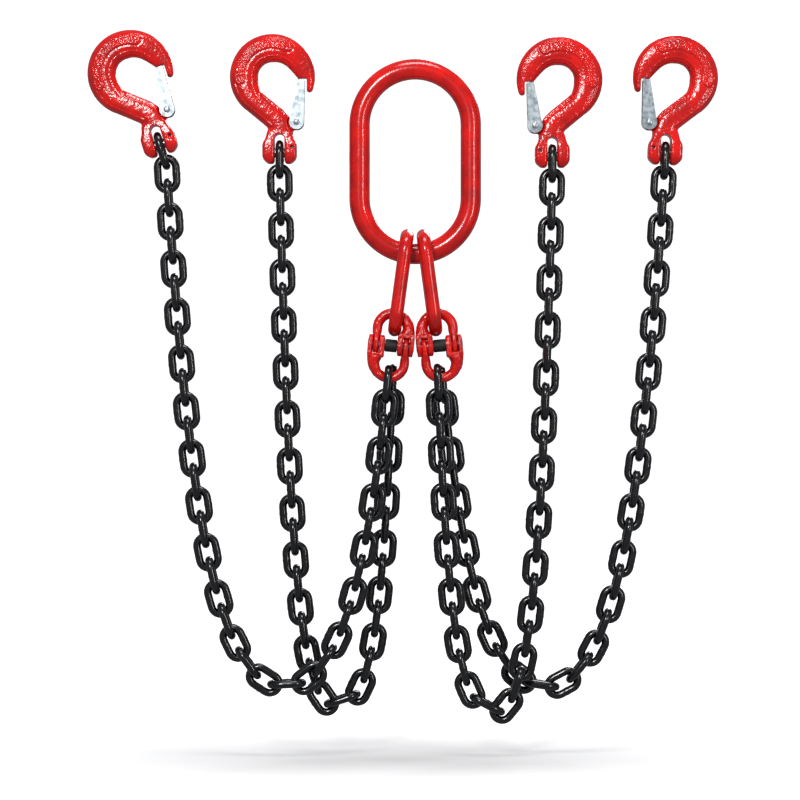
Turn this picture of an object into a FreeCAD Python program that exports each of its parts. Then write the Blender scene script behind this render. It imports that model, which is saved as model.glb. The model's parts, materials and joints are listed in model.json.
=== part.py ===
"""Four leg chain sling for 8 mm chain, hung up by its master link and its four hooks.

Millimetres. +X to the right, +Y to the back, +Z up. The origin is the seat inside the top of the
master link, where the crane hook bears. Legs 1 and 2 hang to the left and legs 3 and 4 to the right.
Legs 1 and 3 lie in a front plane, legs 2 and 4 in a rear plane, so that their chains pass each other.
"""
import FreeCAD, Part
import math
import os

from FreeCAD import Rotation, Vector

# clearances
PLAY = 0.15             # between two links of one chain that bear on each other
JOINT_PLAY = 0.3        # between two pieces that swing on each other
PIN_PLAY = 0.1          # round a pin, on the radius

# master link: oblong ring of round bar
MASTER_BAR = 21.0
MASTER_INSIDE = (91.0, 165.0)

# sub links: oblong rings with flattened ends, so that two connecting links sit side by side in one
SUB_BAR = 13.5
SUB_INSIDE = (44.0, 82.0)
SUB_CROWN_RADIUS = 50.0     # centre line of the flattened end
SUB_SHOULDER_RADIUS = 14.0  # centre line of its two corners
SUB_TOP_X = 8.1             # the two sub links hang side by side on the master link
SUB_SPLAY = 7.6             # degrees from upright

# chain
CHAIN_BAR = 8.0
LINK_INSIDE = (10.5, 24.0)
LINKS_PER_LEG = 39
LEG_PLANE_Y = 14.0
SEGMENT_ENDS = {"a": 12, "b": 15, "c": 18, "d": LINKS_PER_LEG}     # last link of each stretch

# connecting link: two forged halves on one pin
BOW_BAR = 9.8
BOW_RADIUS = 15.25      # centre line of the half circle, and where the two legs stand
BOW_CROWN = 32.6        # from the pin to the centre line of the crown
LUG_RADIUS = 10.0
INNER_LUG = (6.2, 11.8)
TONGUE = (12.1, 18.3)
OUTER_LUG = (18.6, 23.2)
TONGUE_RADIUS = 8.0
FORK_ROOT_RADIUS = 8.6
LEG_FOOT = LUG_RADIUS + 0.6     # where the tongue's leg ends above the pin
# how the bow's bar swells outwards to the fork: degrees above the fork side, outer edge from the
# bow's centre, half thickness
FORK_SWELL = ((75, 20.15, 4.9), (50, 20.5, 5.3), (25, 21.2, 6.8), (0, 22.2, 8.2))
# and from there down to the lugs: inner edge, outer edge, height above the pin
FORK_SHOULDER = ((9.0, 22.8, LUG_RADIUS + 2.4), (INNER_LUG[0], OUTER_LUG[1], LUG_RADIUS - 1))
LOAD_PIN_RADIUS = 4.5
SLEEVE_RADIUS = 6.2
SLEEVE_HALF = 5.9
CONNECTING_TILT = 5.5   # degrees from upright
BOW_SEAT_X = 2.2        # the sub link bears this far inward of the bow's middle
BOW_SEAT_ROOM = 2.4     # from the centre of the bow's half circle to the sub link's bar centre

# sling hook, in its own frame: origin on the clevis pin, +Z up the hook, mouth towards +X
PIN_RADIUS = 4.8
PIN_HALF = 15.5
BOWL_CENTRE = (-7.3, 77.3)
BOWL_OUTER = 43.2
SHANK_NORMAL = 50.6     # degrees, from +X, of the normal to the shank's centre line
SHANK_RADIUS = 30.9     # from the bowl's centre to the shank's centre line
NECK_TURN = (-17.0, 22.0, 18.0)     # centre x, z and radius of the bend from shank to neck
# the bowl's inner edge: degrees from +X about the bowl's centre, and radius
BOWL_INNER = (
    (-22, 31.0), (-8, 26.5), (24, 18.8), (55, 16.4), (82, 14.4), (190, 14.4), (219, 16.6), (231, 18.9),
)
BOWL_STEP = 14.03       # degrees between two sections of the bowl
TIP_NOTCH = (3.0, 26.8, 52.0, 75.3)     # x and z of the room behind the tip for the latch's free end
LATCH_PIVOT = (17.3, 30.9)
LATCH_TOP = 74.0
LATCH_PIN_RADIUS = 2.0
LATCH_INSIDE = 6.4      # from the middle to the inner face of a cheek
LATCH_WALL = 1.6
BOSS_HALF = 3.1         # half thickness of the boss between the cheeks
BOSS_ROOM = 9.4         # radius round the pivot where the flanks are cut back to the boss
SPRING_WIRE = 0.9
SPRING_COIL = 3.1
ROLL_PIN = (12.6, 5.4)
ROLL_PIN_RADIUS = 1.5
EAR = (5.0, 17.5)       # inner and outer face of the clevis ears
EAR_RADIUS = 11.0
SLOT_ROOF = 19.0

# the hooks hang here: pin place, turn in degrees clockwise, and 1 for a mouth that faces +X
HOOKS = {
    1: {"pin": (-256.0, -66.4), "turn": -17.0, "mouth": 1},
    2: {"pin": (-137.1, -72.6), "turn": 0.0, "mouth": 1},
    3: {"pin": (137.3, -78.7), "turn": 0.0, "mouth": -1},
    4: {"pin": (252.8, -73.5), "turn": 2.5, "mouth": -1},
}
# each leg: its side, its plane, and how far its first link lies inward in the connecting link
LEGS = {
    1: {"side": "left", "plane": -1, "inward": 0.0},
    2: {"side": "left", "plane": 1, "inward": 4.4},
    3: {"side": "right", "plane": -1, "inward": 4.4},
    4: {"side": "right", "plane": 1, "inward": 0.0},
}
SIDE_SIGN = {"left": -1, "right": 1}

X_AXIS = Vector(1, 0, 0)
Y_AXIS = Vector(0, 1, 0)
ORIGIN = Vector(0, 0, 0)


def fused(solids):
    """One solid from touching solids."""
    return solids[0].multiFuse(solids[1:]).removeSplitter()


def placed(shape, x, z, y=0.0, turn=0.0, mirrored=False):
    """A copy: mirrored in its own YZ plane if asked, turned clockwise about Y, then moved."""
    copy = shape.mirror(ORIGIN, X_AXIS) if mirrored else shape.copy()
    copy.Placement = FreeCAD.Placement(Vector(x, y, z), Rotation(Y_AXIS, turn)).multiply(copy.Placement)
    return copy


def turned(point, turn):
    """A point (x, z) turned clockwise about the origin, turn in degrees."""
    a = math.radians(turn)
    x, z = point
    return x * math.cos(a) + z * math.sin(a), -x * math.sin(a) + z * math.cos(a)


def bar_arc(radius, bar, centre, normal, start, sweep):
    """A bent round bar: part of a torus, from the start direction, sweep degrees about normal."""
    place = centre + start * radius
    section = Part.Wire(Part.Circle(place, normal.cross(start), bar / 2).toShape())
    return Part.Face(section).revolve(centre, normal, sweep)


def straight_bar(a, b, bar):
    return Part.makeCylinder(bar / 2, (b - a).Length, a, b - a)


def oblong_ring(bar, inside, wide_axis, normal):
    """A ring of round bar with half circle ends, long along Z, centred on the origin."""
    radius = (inside[0] + bar) / 2
    half = (inside[1] - inside[0]) / 2
    up, down = Vector(0, 0, half), Vector(0, 0, -half)
    pieces = [
        bar_arc(radius, bar, up, normal, wide_axis, 180),
        bar_arc(radius, bar, down, normal, wide_axis * -1, 180),
    ]
    for side in (1, -1):
        pieces.append(straight_bar(down + wide_axis * radius * side, up + wide_axis * radius * side, bar))
    return fused(pieces)


def sub_link():
    """A ring in the YZ plane with flattened ends. Its origin is the bar centre of its top crown."""
    reach = (SUB_INSIDE[0] + SUB_BAR) / 2
    span = SUB_CROWN_RADIUS - SUB_SHOULDER_RADIUS
    crown_half = math.degrees(math.asin((reach - SUB_SHOULDER_RADIUS) / span))
    rise = SUB_CROWN_RADIUS - span * math.cos(math.radians(crown_half))
    length = SUB_INSIDE[1] + SUB_BAR
    pieces = []
    for end in (1, -1):
        # the half with end = 1 is the top one: crown apex at z 0, the other apex at z -length
        apex = 0.0 if end == 1 else -length
        middle = Vector(0, 0, apex - end * SUB_CROWN_RADIUS)
        start = Rotation(X_AXIS, -crown_half).multVec(Vector(0, 0, end))
        pieces.append(bar_arc(SUB_CROWN_RADIUS, SUB_BAR, middle, X_AXIS, start, 2 * crown_half))
        for side in (1, -1):
            corner = Vector(0, side * (reach - SUB_SHOULDER_RADIUS), apex - end * rise)
            sense = -side * end
            sweep = 90 - crown_half
            begin = Rotation(X_AXIS, sense * crown_half).multVec(Vector(0, 0, end))
            pieces.append(bar_arc(SUB_SHOULDER_RADIUS, SUB_BAR, corner, X_AXIS * sense, begin, sweep))
    for side in (1, -1):
        a = Vector(0, side * reach, -rise)
        b = Vector(0, side * reach, rise - length)
        pieces.append(straight_bar(a, b, SUB_BAR))
    return fused(pieces)


def crown_drop(y):
    """How far the sub link's crown centre line stands above its lowest point, at y from its middle."""
    return SUB_CROWN_RADIUS - math.sqrt(SUB_CROWN_RADIUS ** 2 - y ** 2)


def oval(centre, across, half_wide, half_thick, square=2.4, count=20):
    """A closed rounded section: half_wide along the direction across, half_thick along Y."""
    points = []
    for i in range(count):
        a = 2 * math.pi * i / count
        c, s = math.cos(a), math.sin(a)
        u = math.copysign(abs(c) ** (2 / square), c) * half_wide
        v = math.copysign(abs(s) ** (2 / square), s) * half_thick
        points.append(centre + across * u + Y_AXIS * v)
    curve = Part.BSplineCurve()
    curve.interpolate(points, PeriodicFlag=True)
    return Part.Wire(curve.toShape())


def along_x(radius, x0, x1, z=0.0):
    return Part.makeCylinder(radius, x1 - x0, Vector(x0, 0, z), X_AXIS)


def along_y(radius, half, x, z):
    return Part.makeCylinder(radius, 2 * half, Vector(x, -half, z), Y_AXIS)


def connecting_half():
    """The upper half, with its tongue at -X and its fork at +X. The pin lies along X through the origin."""
    bend = Vector(0, 0, BOW_CROWN - BOW_RADIUS)
    bow = bar_arc(BOW_RADIUS, BOW_BAR, bend, Y_AXIS, X_AXIS * -1, 180 - FORK_SWELL[0][0])
    leg = straight_bar(Vector(-BOW_RADIUS, 0, LEG_FOOT), Vector(-BOW_RADIUS, 0, bend.z), BOW_BAR)
    tongue_half = (TONGUE[1] - TONGUE[0]) / 2
    tongue = fused([
        along_x(TONGUE_RADIUS, -TONGUE[1], -TONGUE[0]),
        Part.makeBox(2 * tongue_half, 2 * TONGUE_RADIUS - 4, bend.z - 3,
                     Vector(-TONGUE[1], 2 - TONGUE_RADIUS, 0)),
    ])
    # the bar swells outwards into the fork: rounded sections along the bow, then down to the lugs
    inner_edge = BOW_RADIUS - BOW_BAR / 2
    sections = []
    for angle, outer_edge, half_thick in FORK_SWELL:
        a = math.radians(angle)
        out = Vector(math.cos(a), 0, math.sin(a))
        middle = (outer_edge + inner_edge) / 2
        sections.append(oval(bend + out * middle, out, outer_edge - middle, half_thick, 2.2))
    for inner_x, outer_x, height in FORK_SHOULDER:
        middle = (outer_x + inner_x) / 2
        sections.append(oval(Vector(middle, 0, height), X_AXIS, outer_x - middle, LUG_RADIUS - 1, 3.0))
    swell = Part.makeLoft(sections, True, False)
    lugs = [
        fused([along_x(LUG_RADIUS, a, b),
               Part.makeBox(b - a, 2 * LUG_RADIUS - 2, LUG_RADIUS, Vector(a, 1 - LUG_RADIUS, 0))])
        for a, b in (INNER_LUG, OUTER_LUG)
    ]
    half = fused([bow, leg, tongue, swell] + lugs)
    root = along_x(FORK_ROOT_RADIUS, INNER_LUG[1], OUTER_LUG[0])
    gap = Part.makeBox(OUTER_LUG[0] - INNER_LUG[1], 4 * LUG_RADIUS, 2 * LUG_RADIUS,
                       Vector(INNER_LUG[1], -2 * LUG_RADIUS, -2 * LUG_RADIUS))
    bore = along_x(LOAD_PIN_RADIUS + PIN_PLAY, -2 * OUTER_LUG[1], 2 * OUTER_LUG[1])
    return half.cut(fused([root, gap])).cut(bore)


def load_sleeve():
    return along_x(SLEEVE_RADIUS, -SLEEVE_HALF, SLEEVE_HALF).cut(
        along_x(LOAD_PIN_RADIUS + PIN_PLAY, -SLEEVE_HALF, SLEEVE_HALF))


def bowl_inner(angle):
    """Radius of the bowl's inner edge about the bowl's centre, at an angle in degrees from +X."""
    for (a0, r0), (a1, r1) in zip(BOWL_INNER, BOWL_INNER[1:]):
        if angle <= a1:
            share = (angle - a0) / (a1 - a0)
            return r0 + (r1 - r0) * (3 - 2 * share) * share * share
    return BOWL_INNER[-1][1]


def hook_sections():
    """Rounded sections from the neck, up the shank and round the bowl to the tip."""
    sections = []
    turn_x, turn_z, turn_radius = NECK_TURN
    normal_angle = math.radians(SHANK_NORMAL)
    normal = Vector(math.cos(normal_angle), 0, math.sin(normal_angle))
    for z, half in ((12.0, 13.6), (17.0, 13.2)):
        sections.append(oval(Vector(turn_x + turn_radius, 0, z), X_AXIS, half, 10.0, 3.0))
    for angle, half in ((0, 13.0), (25, 12.6), (SHANK_NORMAL, 12.2)):
        out = Vector(math.cos(math.radians(angle)), 0, math.sin(math.radians(angle)))
        place = Vector(turn_x, 0, turn_z) + out * turn_radius
        sections.append(oval(place, out, half, 9.8, 2.8))
    bowl = Vector(BOWL_CENTRE[0], 0, BOWL_CENTRE[1])
    foot = bowl - normal * SHANK_RADIUS
    bend = Vector(turn_x, 0, turn_z) + normal * turn_radius
    middle = (foot + bend) * 0.5
    sections.append(oval(middle, normal, 12.0, 9.6, 2.6))
    angle = 180 + SHANK_NORMAL
    tip = BOWL_INNER[0][0]
    while angle >= tip:
        out = Vector(math.cos(math.radians(angle)), 0, math.sin(math.radians(angle)))
        inner = bowl_inner(angle)
        half = (BOWL_OUTER - inner) / 2
        thick = 5.2 + 5.3 * min((angle - tip) / 92, 1)
        sections.append(oval(bowl + out * (inner + half), out, half, thick, 2.4))
        angle -= BOWL_STEP
    return sections


def latch_room():
    """What the hook leaves clear on both flanks: round the latch pivot, and a strip along the shank."""
    solids = []
    reach = 14.0
    turn_x, turn_z, turn_radius = NECK_TURN
    a = math.radians(SHANK_NORMAL)
    normal = Vector(math.cos(a), 0, math.sin(a))
    bend = Vector(turn_x, 0, turn_z) + normal * turn_radius
    for side in (1, -1):
        place = Vector(LATCH_PIVOT[0], side * BOSS_HALF, LATCH_PIVOT[1])
        solids.append(Part.makeCylinder(BOSS_ROOM, reach - BOSS_HALF, place, Y_AXIS * side))
        low = LATCH_INSIDE - 0.5 if side > 0 else -reach
        strip = Part.makeBox(44, reach - LATCH_INSIDE + 0.5, 14, Vector(-12, low, -17))
        strip.rotate(ORIGIN, Y_AXIS, -90 - SHANK_NORMAL)
        strip.translate(bend)
        solids.append(strip)
    return solids


def hook_body():
    sections = hook_sections()
    body = Part.makeLoft(sections[:-2], True, False)
    x0, x1, z0, z1 = TIP_NOTCH
    notch = Part.makeBox(x1 - x0, 60, z1 - z0, Vector(x0, -30, z0))
    tip = Part.makeLoft(sections[-3:], True, True).cut(notch)
    ears = []
    for side in (1, -1):
        x0, x1 = sorted((side * EAR[0], side * EAR[1]))
        round_ear = along_x(EAR_RADIUS, x0, x1)
        upper = Part.makeBox(x1 - x0, 2 * EAR_RADIUS - 1, 9, Vector(x0, 0.5 - EAR_RADIUS, 0))
        ears += [round_ear, upper]
    roof = Part.makeBox(2 * EAR[0] + 6, 2 * EAR_RADIUS - 2, 8, Vector(-EAR[0] - 3, 1 - EAR_RADIUS, 9))
    boss = along_y(6.0, BOSS_HALF, *LATCH_PIVOT)
    web = Part.makeBox(12, 2 * BOSS_HALF, 11, Vector(LATCH_PIVOT[0] - 12, -BOSS_HALF, LATCH_PIVOT[1] - 8))
    solid = fused([body, tip, roof, boss, web] + ears)
    # outer corners of the ears are taken off, top and bottom
    for side in (1, -1):
        for up in (1, -1):
            corner = Part.makeBox(20, 60, 20, Vector(-10, -30, -10))
            corner.rotate(ORIGIN, Y_AXIS, 45)
            corner.translate(Vector(side * (EAR[1] + 8.5), 0, up * (EAR_RADIUS + 1.5) - (1 - up) * 0.2))
            solid = solid.cut(corner)
    slot = fused([
        Part.makeBox(2 * EAR[0], 60, SLOT_ROOF - EAR[0] + 20, Vector(-EAR[0], -30, -20)),
        along_y(EAR[0], 30, 0, SLOT_ROOF - EAR[0]),
    ])
    cuts = [
        slot,
        along_x(PIN_RADIUS + PIN_PLAY, -40, 40),
        along_y(ROLL_PIN_RADIUS + PIN_PLAY, 40, *ROLL_PIN),
        along_y(LATCH_PIN_RADIUS + PIN_PLAY, 40, *LATCH_PIVOT),
    ]
    for cut in cuts + latch_room():
        solid = solid.cut(cut)
    return solid


def clevis_pin():
    pin = along_x(PIN_RADIUS, -PIN_HALF, PIN_HALF)
    return pin.cut(along_y(ROLL_PIN_RADIUS + PIN_PLAY, 20, *ROLL_PIN))


def roll_pin():
    return along_y(ROLL_PIN_RADIUS, 9.0, *ROLL_PIN).cut(along_y(0.7, 9.0, *ROLL_PIN))


def latch():
    """A pressed channel: two cheeks joined by a web on the outer side, open towards the bowl."""
    wall, cheek_in = LATCH_WALL, LATCH_INSIDE
    px, pz = LATCH_PIVOT
    outline = [
        Vector(px - 7.4, 0, pz), Vector(px + 1.2, 0, LATCH_TOP), Vector(px + 8.4, 0, LATCH_TOP),
        Vector(px + 7.4, 0, pz),
    ]
    plate = Part.Face(Part.makePolygon(outline + outline[:1])).extrude(Y_AXIS * 2 * (cheek_in + wall))
    plate.translate(Vector(0, -cheek_in - wall, 0))
    solid = fused([plate, along_y(7.4, cheek_in + wall, px, pz)])
    hollow = solid.copy()
    hollow.translate(Vector(-wall, 0, 0))
    channel = Part.makeBox(60, 2 * cheek_in, 80, Vector(px - 40, -cheek_in, pz - 20))
    solid = solid.cut(hollow.common(channel))
    low = Part.makeBox(40, 2 * cheek_in, 26, Vector(px - 10, -cheek_in, pz - 14))
    high = Part.makeBox(40, 2 * cheek_in, 20, Vector(px - 10, -cheek_in, LATCH_TOP - 4))
    return solid.cut(low).cut(high).cut(along_y(LATCH_PIN_RADIUS + PIN_PLAY, 20, px, pz))


def latch_pin():
    """A rivet with two domed heads."""
    shank = along_y(LATCH_PIN_RADIUS, 8.3, *LATCH_PIVOT)
    heads = []
    for side in (1, -1):
        place = Vector(LATCH_PIVOT[0], side * 8.3, LATCH_PIVOT[1])
        heads.append(Part.makeCylinder(3.2, 1.0, place, Y_AXIS * side))
    return fused([shank] + heads)


def latch_spring():
    """A torsion spring in front of the boss: close turns of wire, and two straight ends."""
    wire, coil = SPRING_WIRE, SPRING_COIL
    px, pz = LATCH_PIVOT
    turns = [
        Part.makeTorus(coil, wire / 2, Vector(px, -3.9 - i * 0.82, pz), Y_AXIS)
        for i in range(3)
    ]
    up = straight_bar(Vector(px + coil, -5.54, pz), Vector(px + 4.2, -5.54, pz + 17), wire)
    back = straight_bar(Vector(px - coil, -3.9, pz), Vector(px - 4.4, -3.9, pz + 3.6), wire)
    return fused(turns + [up, back])


def hanging_chain(start, end, count):
    """Where the crowns lie of a chain of rigid links that hangs from start to end, both (x, z).

    Links are alternately seen from the edge, pivoting at both their own crowns, and from the face,
    pivoting on their neighbours' crowns. Equal weights hang at their middles. The pull in the first
    link has two parts, across and up, and Newton's method finds the two that end the chain at end.
    """
    edge, face = edge_pitch(), face_pitch()
    lengths = [edge if i % 2 == 0 else face for i in range(count)]
    sense = 1 if end[0] > start[0] else -1
    goal = (abs(end[0] - start[0]), end[1] - start[1])

    def walk(across, lift):
        x, z, points = 0.0, 0.0, [(0.0, 0.0)]
        for i, length in enumerate(lengths):
            rest = lift - (i + 0.5)
            pull = math.hypot(across, rest)
            x += length * across / pull
            z -= length * rest / pull
            points.append((x, z))
        return points

    across, lift, step = 1.0, count * 0.38, 1e-6
    for _ in range(200):
        here, right, above = (walk(across, lift)[-1], walk(across + step, lift)[-1],
                              walk(across, lift + step)[-1])
        off = (here[0] - goal[0], here[1] - goal[1])
        if abs(off[0]) + abs(off[1]) < 1e-8:
            break
        a, b = (right[0] - here[0]) / step, (above[0] - here[0]) / step
        c, d = (right[1] - here[1]) / step, (above[1] - here[1]) / step
        area = a * d - b * c
        change = ((-off[0] * d + off[1] * b) / area, (-a * off[1] + c * off[0]) / area)
        damp = min(1.0, 1.0 / max(abs(change[0]), abs(change[1]), 1e-9))
        across = max(across + damp * change[0], 0.05)
        lift += damp * change[1]
    return [(start[0] + sense * x, start[1] + z) for x, z in walk(across, lift)]


def edge_pitch():
    return LINK_INSIDE[1] + CHAIN_BAR


def face_pitch():
    return LINK_INSIDE[1] - CHAIN_BAR - 2 * PLAY


def bow_place(side):
    """Pin place (x, z) and clockwise turn of the connecting links on one side."""
    sign = SIDE_SIGN[side]
    top = sub_top(side)
    down = turned((0, -(SUB_INSIDE[1] + SUB_BAR) + crown_drop(LEG_PLANE_Y)), -sign * SUB_SPLAY)
    bar = (top[0] + down[0], top[1] + down[1])
    turn = -sign * CONNECTING_TILT
    rise = BOW_CROWN - BOW_RADIUS + math.sqrt(BOW_SEAT_ROOM ** 2 - BOW_SEAT_X ** 2)
    seat = turned((-sign * BOW_SEAT_X, rise), turn)
    return (bar[0] - seat[0], bar[1] - seat[1]), turn, bar


def sub_top(side):
    """Bar centre (x, z) of a sub link's top crown, resting in the master link's bottom bend."""
    bend = MASTER_INSIDE[0] / 2
    lift = bend - math.sqrt(bend ** 2 - SUB_TOP_X ** 2)
    return SIDE_SIGN[side] * SUB_TOP_X, -MASTER_INSIDE[1] + lift + SUB_BAR / 2 + JOINT_PLAY


def leg_start(leg):
    """Crown centre (x, z) of the leg's first link, in the lower half of its connecting link."""
    sign = SIDE_SIGN[LEGS[leg]["side"]]
    pin, turn, _ = bow_place(LEGS[leg]["side"])
    room = BOW_RADIUS - BOW_BAR / 2 - CHAIN_BAR / 2 - JOINT_PLAY
    inward = LEGS[leg]["inward"]
    local = (-sign * inward, -(BOW_CROWN - BOW_RADIUS) - math.sqrt(room ** 2 - inward ** 2))
    moved = turned(local, turn)
    return pin[0] + moved[0], pin[1] + moved[1]


def leg_points(leg):
    """Pivots (x, z) along one leg, from the connecting link to the crown on the hook's pin."""
    hook = HOOKS[leg]
    up = turned((0, 1), hook["turn"])
    crown = [hook["pin"][k] + up[k] * (PIN_RADIUS + CHAIN_BAR / 2 + JOINT_PLAY + 0.1) for k in (0, 1)]
    last = [crown[k] - up[k] * edge_pitch() for k in (0, 1)]
    return hanging_chain(leg_start(leg), last, LINKS_PER_LEG - 1) + [tuple(crown)]


def chain_segments(leg):
    """The leg's links as four stretches, each a list of separate solids."""
    edge_link = oblong_ring(CHAIN_BAR, LINK_INSIDE, Y_AXIS, X_AXIS)
    face_link = oblong_ring(CHAIN_BAR, LINK_INSIDE, X_AXIS, Y_AXIS * -1)
    y = LEGS[leg]["plane"] * LEG_PLANE_Y
    points = leg_points(leg)
    stretches = {name: [] for name in SEGMENT_ENDS}
    for number in range(1, LINKS_PER_LEG + 1):
        (x0, z0), (x1, z1) = points[number - 1], points[number]
        turn = math.degrees(math.atan2(x1 - x0, z1 - z0))
        link = edge_link if number % 2 else face_link
        stretch = next(name for name, last in SEGMENT_ENDS.items() if number <= last)
        stretches[stretch].append(placed(link, (x0 + x1) / 2, (z0 + z1) / 2, y, turn))
    return stretches


def save(name, shape):
    shape.exportStep(os.path.join("parts", name + ".step"))


def main():
    os.makedirs("parts", exist_ok=True)
    master = oblong_ring(MASTER_BAR, MASTER_INSIDE, X_AXIS, Y_AXIS * -1)
    save("master_link", placed(master, 0, -MASTER_INSIDE[1] / 2))

    ring = sub_link()
    for side, sign in SIDE_SIGN.items():
        x, z = sub_top(side)
        save("sub_link_" + side, placed(ring, x, z, 0, -sign * SUB_SPLAY))

    upper = connecting_half()
    lower = upper.copy()
    lower.rotate(ORIGIN, Y_AXIS, 180)
    load_pin = along_x(LOAD_PIN_RADIUS, -OUTER_LUG[1] + 0.4, OUTER_LUG[1] - 0.4)
    sleeve = load_sleeve()
    for leg, facts in LEGS.items():
        (x, z), turn, _ = bow_place(facts["side"])
        y = facts["plane"] * LEG_PLANE_Y
        mirrored = facts["side"] == "right"
        pieces = {"upper_half": upper, "lower_half": lower, "load_pin": load_pin, "sleeve": sleeve}
        for name, shape in pieces.items():
            save(f"connector_{leg}_{name}", placed(shape, x, z, y, turn, mirrored))

    hook_pieces = {
        "body": hook_body(), "clevis_pin": clevis_pin(), "roll_pin": roll_pin(),
        "latch": latch(), "latch_pin": latch_pin(), "latch_spring": latch_spring(),
    }
    for leg, facts in LEGS.items():
        hook = HOOKS[leg]
        y = facts["plane"] * LEG_PLANE_Y
        for name, shape in hook_pieces.items():
            save(f"hook_{leg}_{name}",
                 placed(shape, hook["pin"][0], hook["pin"][1], y, hook["turn"], hook["mouth"] < 0))
        for name, links in chain_segments(leg).items():
            save(f"chain_{leg}_{name}", Part.makeCompound(links))


main()
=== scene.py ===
"""Looks of a four leg chain sling: red forged fittings, black chain, hung up by its hooks."""
import bpy
import json
import math
import numpy as np
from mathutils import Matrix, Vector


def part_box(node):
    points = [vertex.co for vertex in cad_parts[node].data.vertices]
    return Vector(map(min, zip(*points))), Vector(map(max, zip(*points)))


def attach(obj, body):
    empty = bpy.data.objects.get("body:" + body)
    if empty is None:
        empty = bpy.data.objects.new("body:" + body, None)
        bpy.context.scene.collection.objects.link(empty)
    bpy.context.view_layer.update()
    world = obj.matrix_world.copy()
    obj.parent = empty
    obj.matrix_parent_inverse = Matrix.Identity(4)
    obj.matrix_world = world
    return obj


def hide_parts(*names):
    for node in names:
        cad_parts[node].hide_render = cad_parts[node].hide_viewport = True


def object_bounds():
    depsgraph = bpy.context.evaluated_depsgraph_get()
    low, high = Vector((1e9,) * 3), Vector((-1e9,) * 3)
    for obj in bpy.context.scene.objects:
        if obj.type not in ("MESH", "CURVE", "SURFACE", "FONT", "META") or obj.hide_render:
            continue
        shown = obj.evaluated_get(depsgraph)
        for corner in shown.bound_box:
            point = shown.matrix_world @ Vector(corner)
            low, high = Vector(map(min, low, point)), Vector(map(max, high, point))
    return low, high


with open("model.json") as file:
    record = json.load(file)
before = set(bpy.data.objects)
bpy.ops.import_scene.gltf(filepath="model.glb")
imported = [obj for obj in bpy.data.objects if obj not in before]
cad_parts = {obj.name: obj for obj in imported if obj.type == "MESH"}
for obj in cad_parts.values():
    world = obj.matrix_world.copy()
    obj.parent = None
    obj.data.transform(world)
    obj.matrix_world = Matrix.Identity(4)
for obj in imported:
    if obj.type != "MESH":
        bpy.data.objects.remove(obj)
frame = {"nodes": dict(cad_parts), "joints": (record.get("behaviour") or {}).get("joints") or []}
cad_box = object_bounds()
joints = {j["name"]: j for j in frame["joints"]}
MM = 0.001

# ---------------------------------------------------------------------------
# Master link: an oblong ring of 21 mm bar, forge welded, dipped in red paint.
# It rests in the crane's hook, and both sub links hang in its bottom bend.


def outline(*arcs, spacing=0.002):
    """A closed plane line from arcs (centre x, centre y, radius, from, to in degrees), joined by
    straight runs, as points about spacing apart: each arc is centre + radius (cos a, sin a)."""
    runs = []
    for x, y, radius, a0, a1 in arcs:
        a = np.radians(np.linspace(a0, a1, 60))
        runs.append(np.stack([x + radius * np.cos(a), y + radius * np.sin(a)], 1))
    line = np.vstack(runs + [runs[0][:1]])
    along = np.concatenate([[0], np.cumsum(np.hypot(*np.diff(line, axis=0).T))])
    count = int(round(along[-1] / spacing))
    where = np.arange(count) * along[-1] / count
    return np.stack([np.interp(where, along, line[:, k]) for k in (0, 1)], 1)


def ring_surface(line, radius, around=24):
    """A tube round a closed plane line: point = line + radius (cos b outward + sin b sideways).
    radius may vary along the line. Gives (points along, around, 3), sideways as the third axis."""
    ahead = np.roll(line, -1, 0) - np.roll(line, 1, 0)
    ahead /= np.linalg.norm(ahead, axis=1)[:, None]
    outward = np.stack([ahead[:, 1], -ahead[:, 0]], 1)
    b = np.arange(around) * 2 * np.pi / around
    r = np.broadcast_to(radius, len(line))[:, None]
    flat = line[:, None, :] + (r * np.cos(b))[..., None] * outward[:, None, :]
    side = r * np.sin(b)
    return np.concatenate([flat, np.broadcast_to(side, flat.shape[:2])[..., None]], 2)


def grid_faces(rows, columns, close_rows, close_columns):
    """Quads of a rows x columns grid of points, joined round where it closes on itself."""
    i = np.arange(rows if close_rows else rows - 1)[:, None]
    j = np.arange(columns if close_columns else columns - 1)[None, :]
    i2, j2 = (i + 1) % rows, (j + 1) % columns
    corners = [i * columns + j, i2 * columns + j, i2 * columns + j2, i * columns + j2]
    return np.stack([np.broadcast_to(c, (i.size, j.size)).ravel() for c in corners], 1)


def add_piece(name, grids, close=(True, True), ends=False):
    """One smooth mesh from grids of points (rows, columns, 3). ends fills each grid's first and
    last row with a centre point. Faces turn outwards, by the sign of the enclosed volume."""
    points, faces, base = [], [], 0
    for grid in grids:
        rows, columns = grid.shape[:2]
        quads = grid_faces(rows, columns, *close)
        own = [grid.reshape(-1, 3)]
        parts = [quads[:, [0, 1, 2]], quads[:, [0, 2, 3]]]
        if ends:
            own += [grid[:1].mean(1), grid[-1:].mean(1)]
            j = np.arange(columns)
            j2 = (j + 1) % columns
            last = (rows - 1) * columns
            centre = rows * columns
            parts.append(np.stack([j, j2, np.full(columns, centre)], 1))
            parts.append(np.stack([last + j2, last + j, np.full(columns, centre + 1)], 1))
        own = np.vstack(own)
        triangles = np.vstack(parts)
        a, b, c = (own[triangles[:, k]] for k in range(3))
        inward = np.einsum("ij,ij->", a, np.cross(b, c)) < 0
        shapes = [quads] + parts[2:]
        for shape in shapes:
            faces += (base + (shape[:, ::-1] if inward else shape)).tolist()
        points.append(own)
        base += len(own)
    mesh = bpy.data.meshes.new(name)
    mesh.from_pydata(np.vstack(points).tolist(), [], faces)
    mesh.polygons.foreach_set("use_smooth", np.ones(len(mesh.polygons), bool))
    mesh.update()
    piece = bpy.data.objects.new(name, mesh)
    bpy.context.scene.collection.objects.link(piece)
    return piece


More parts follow.
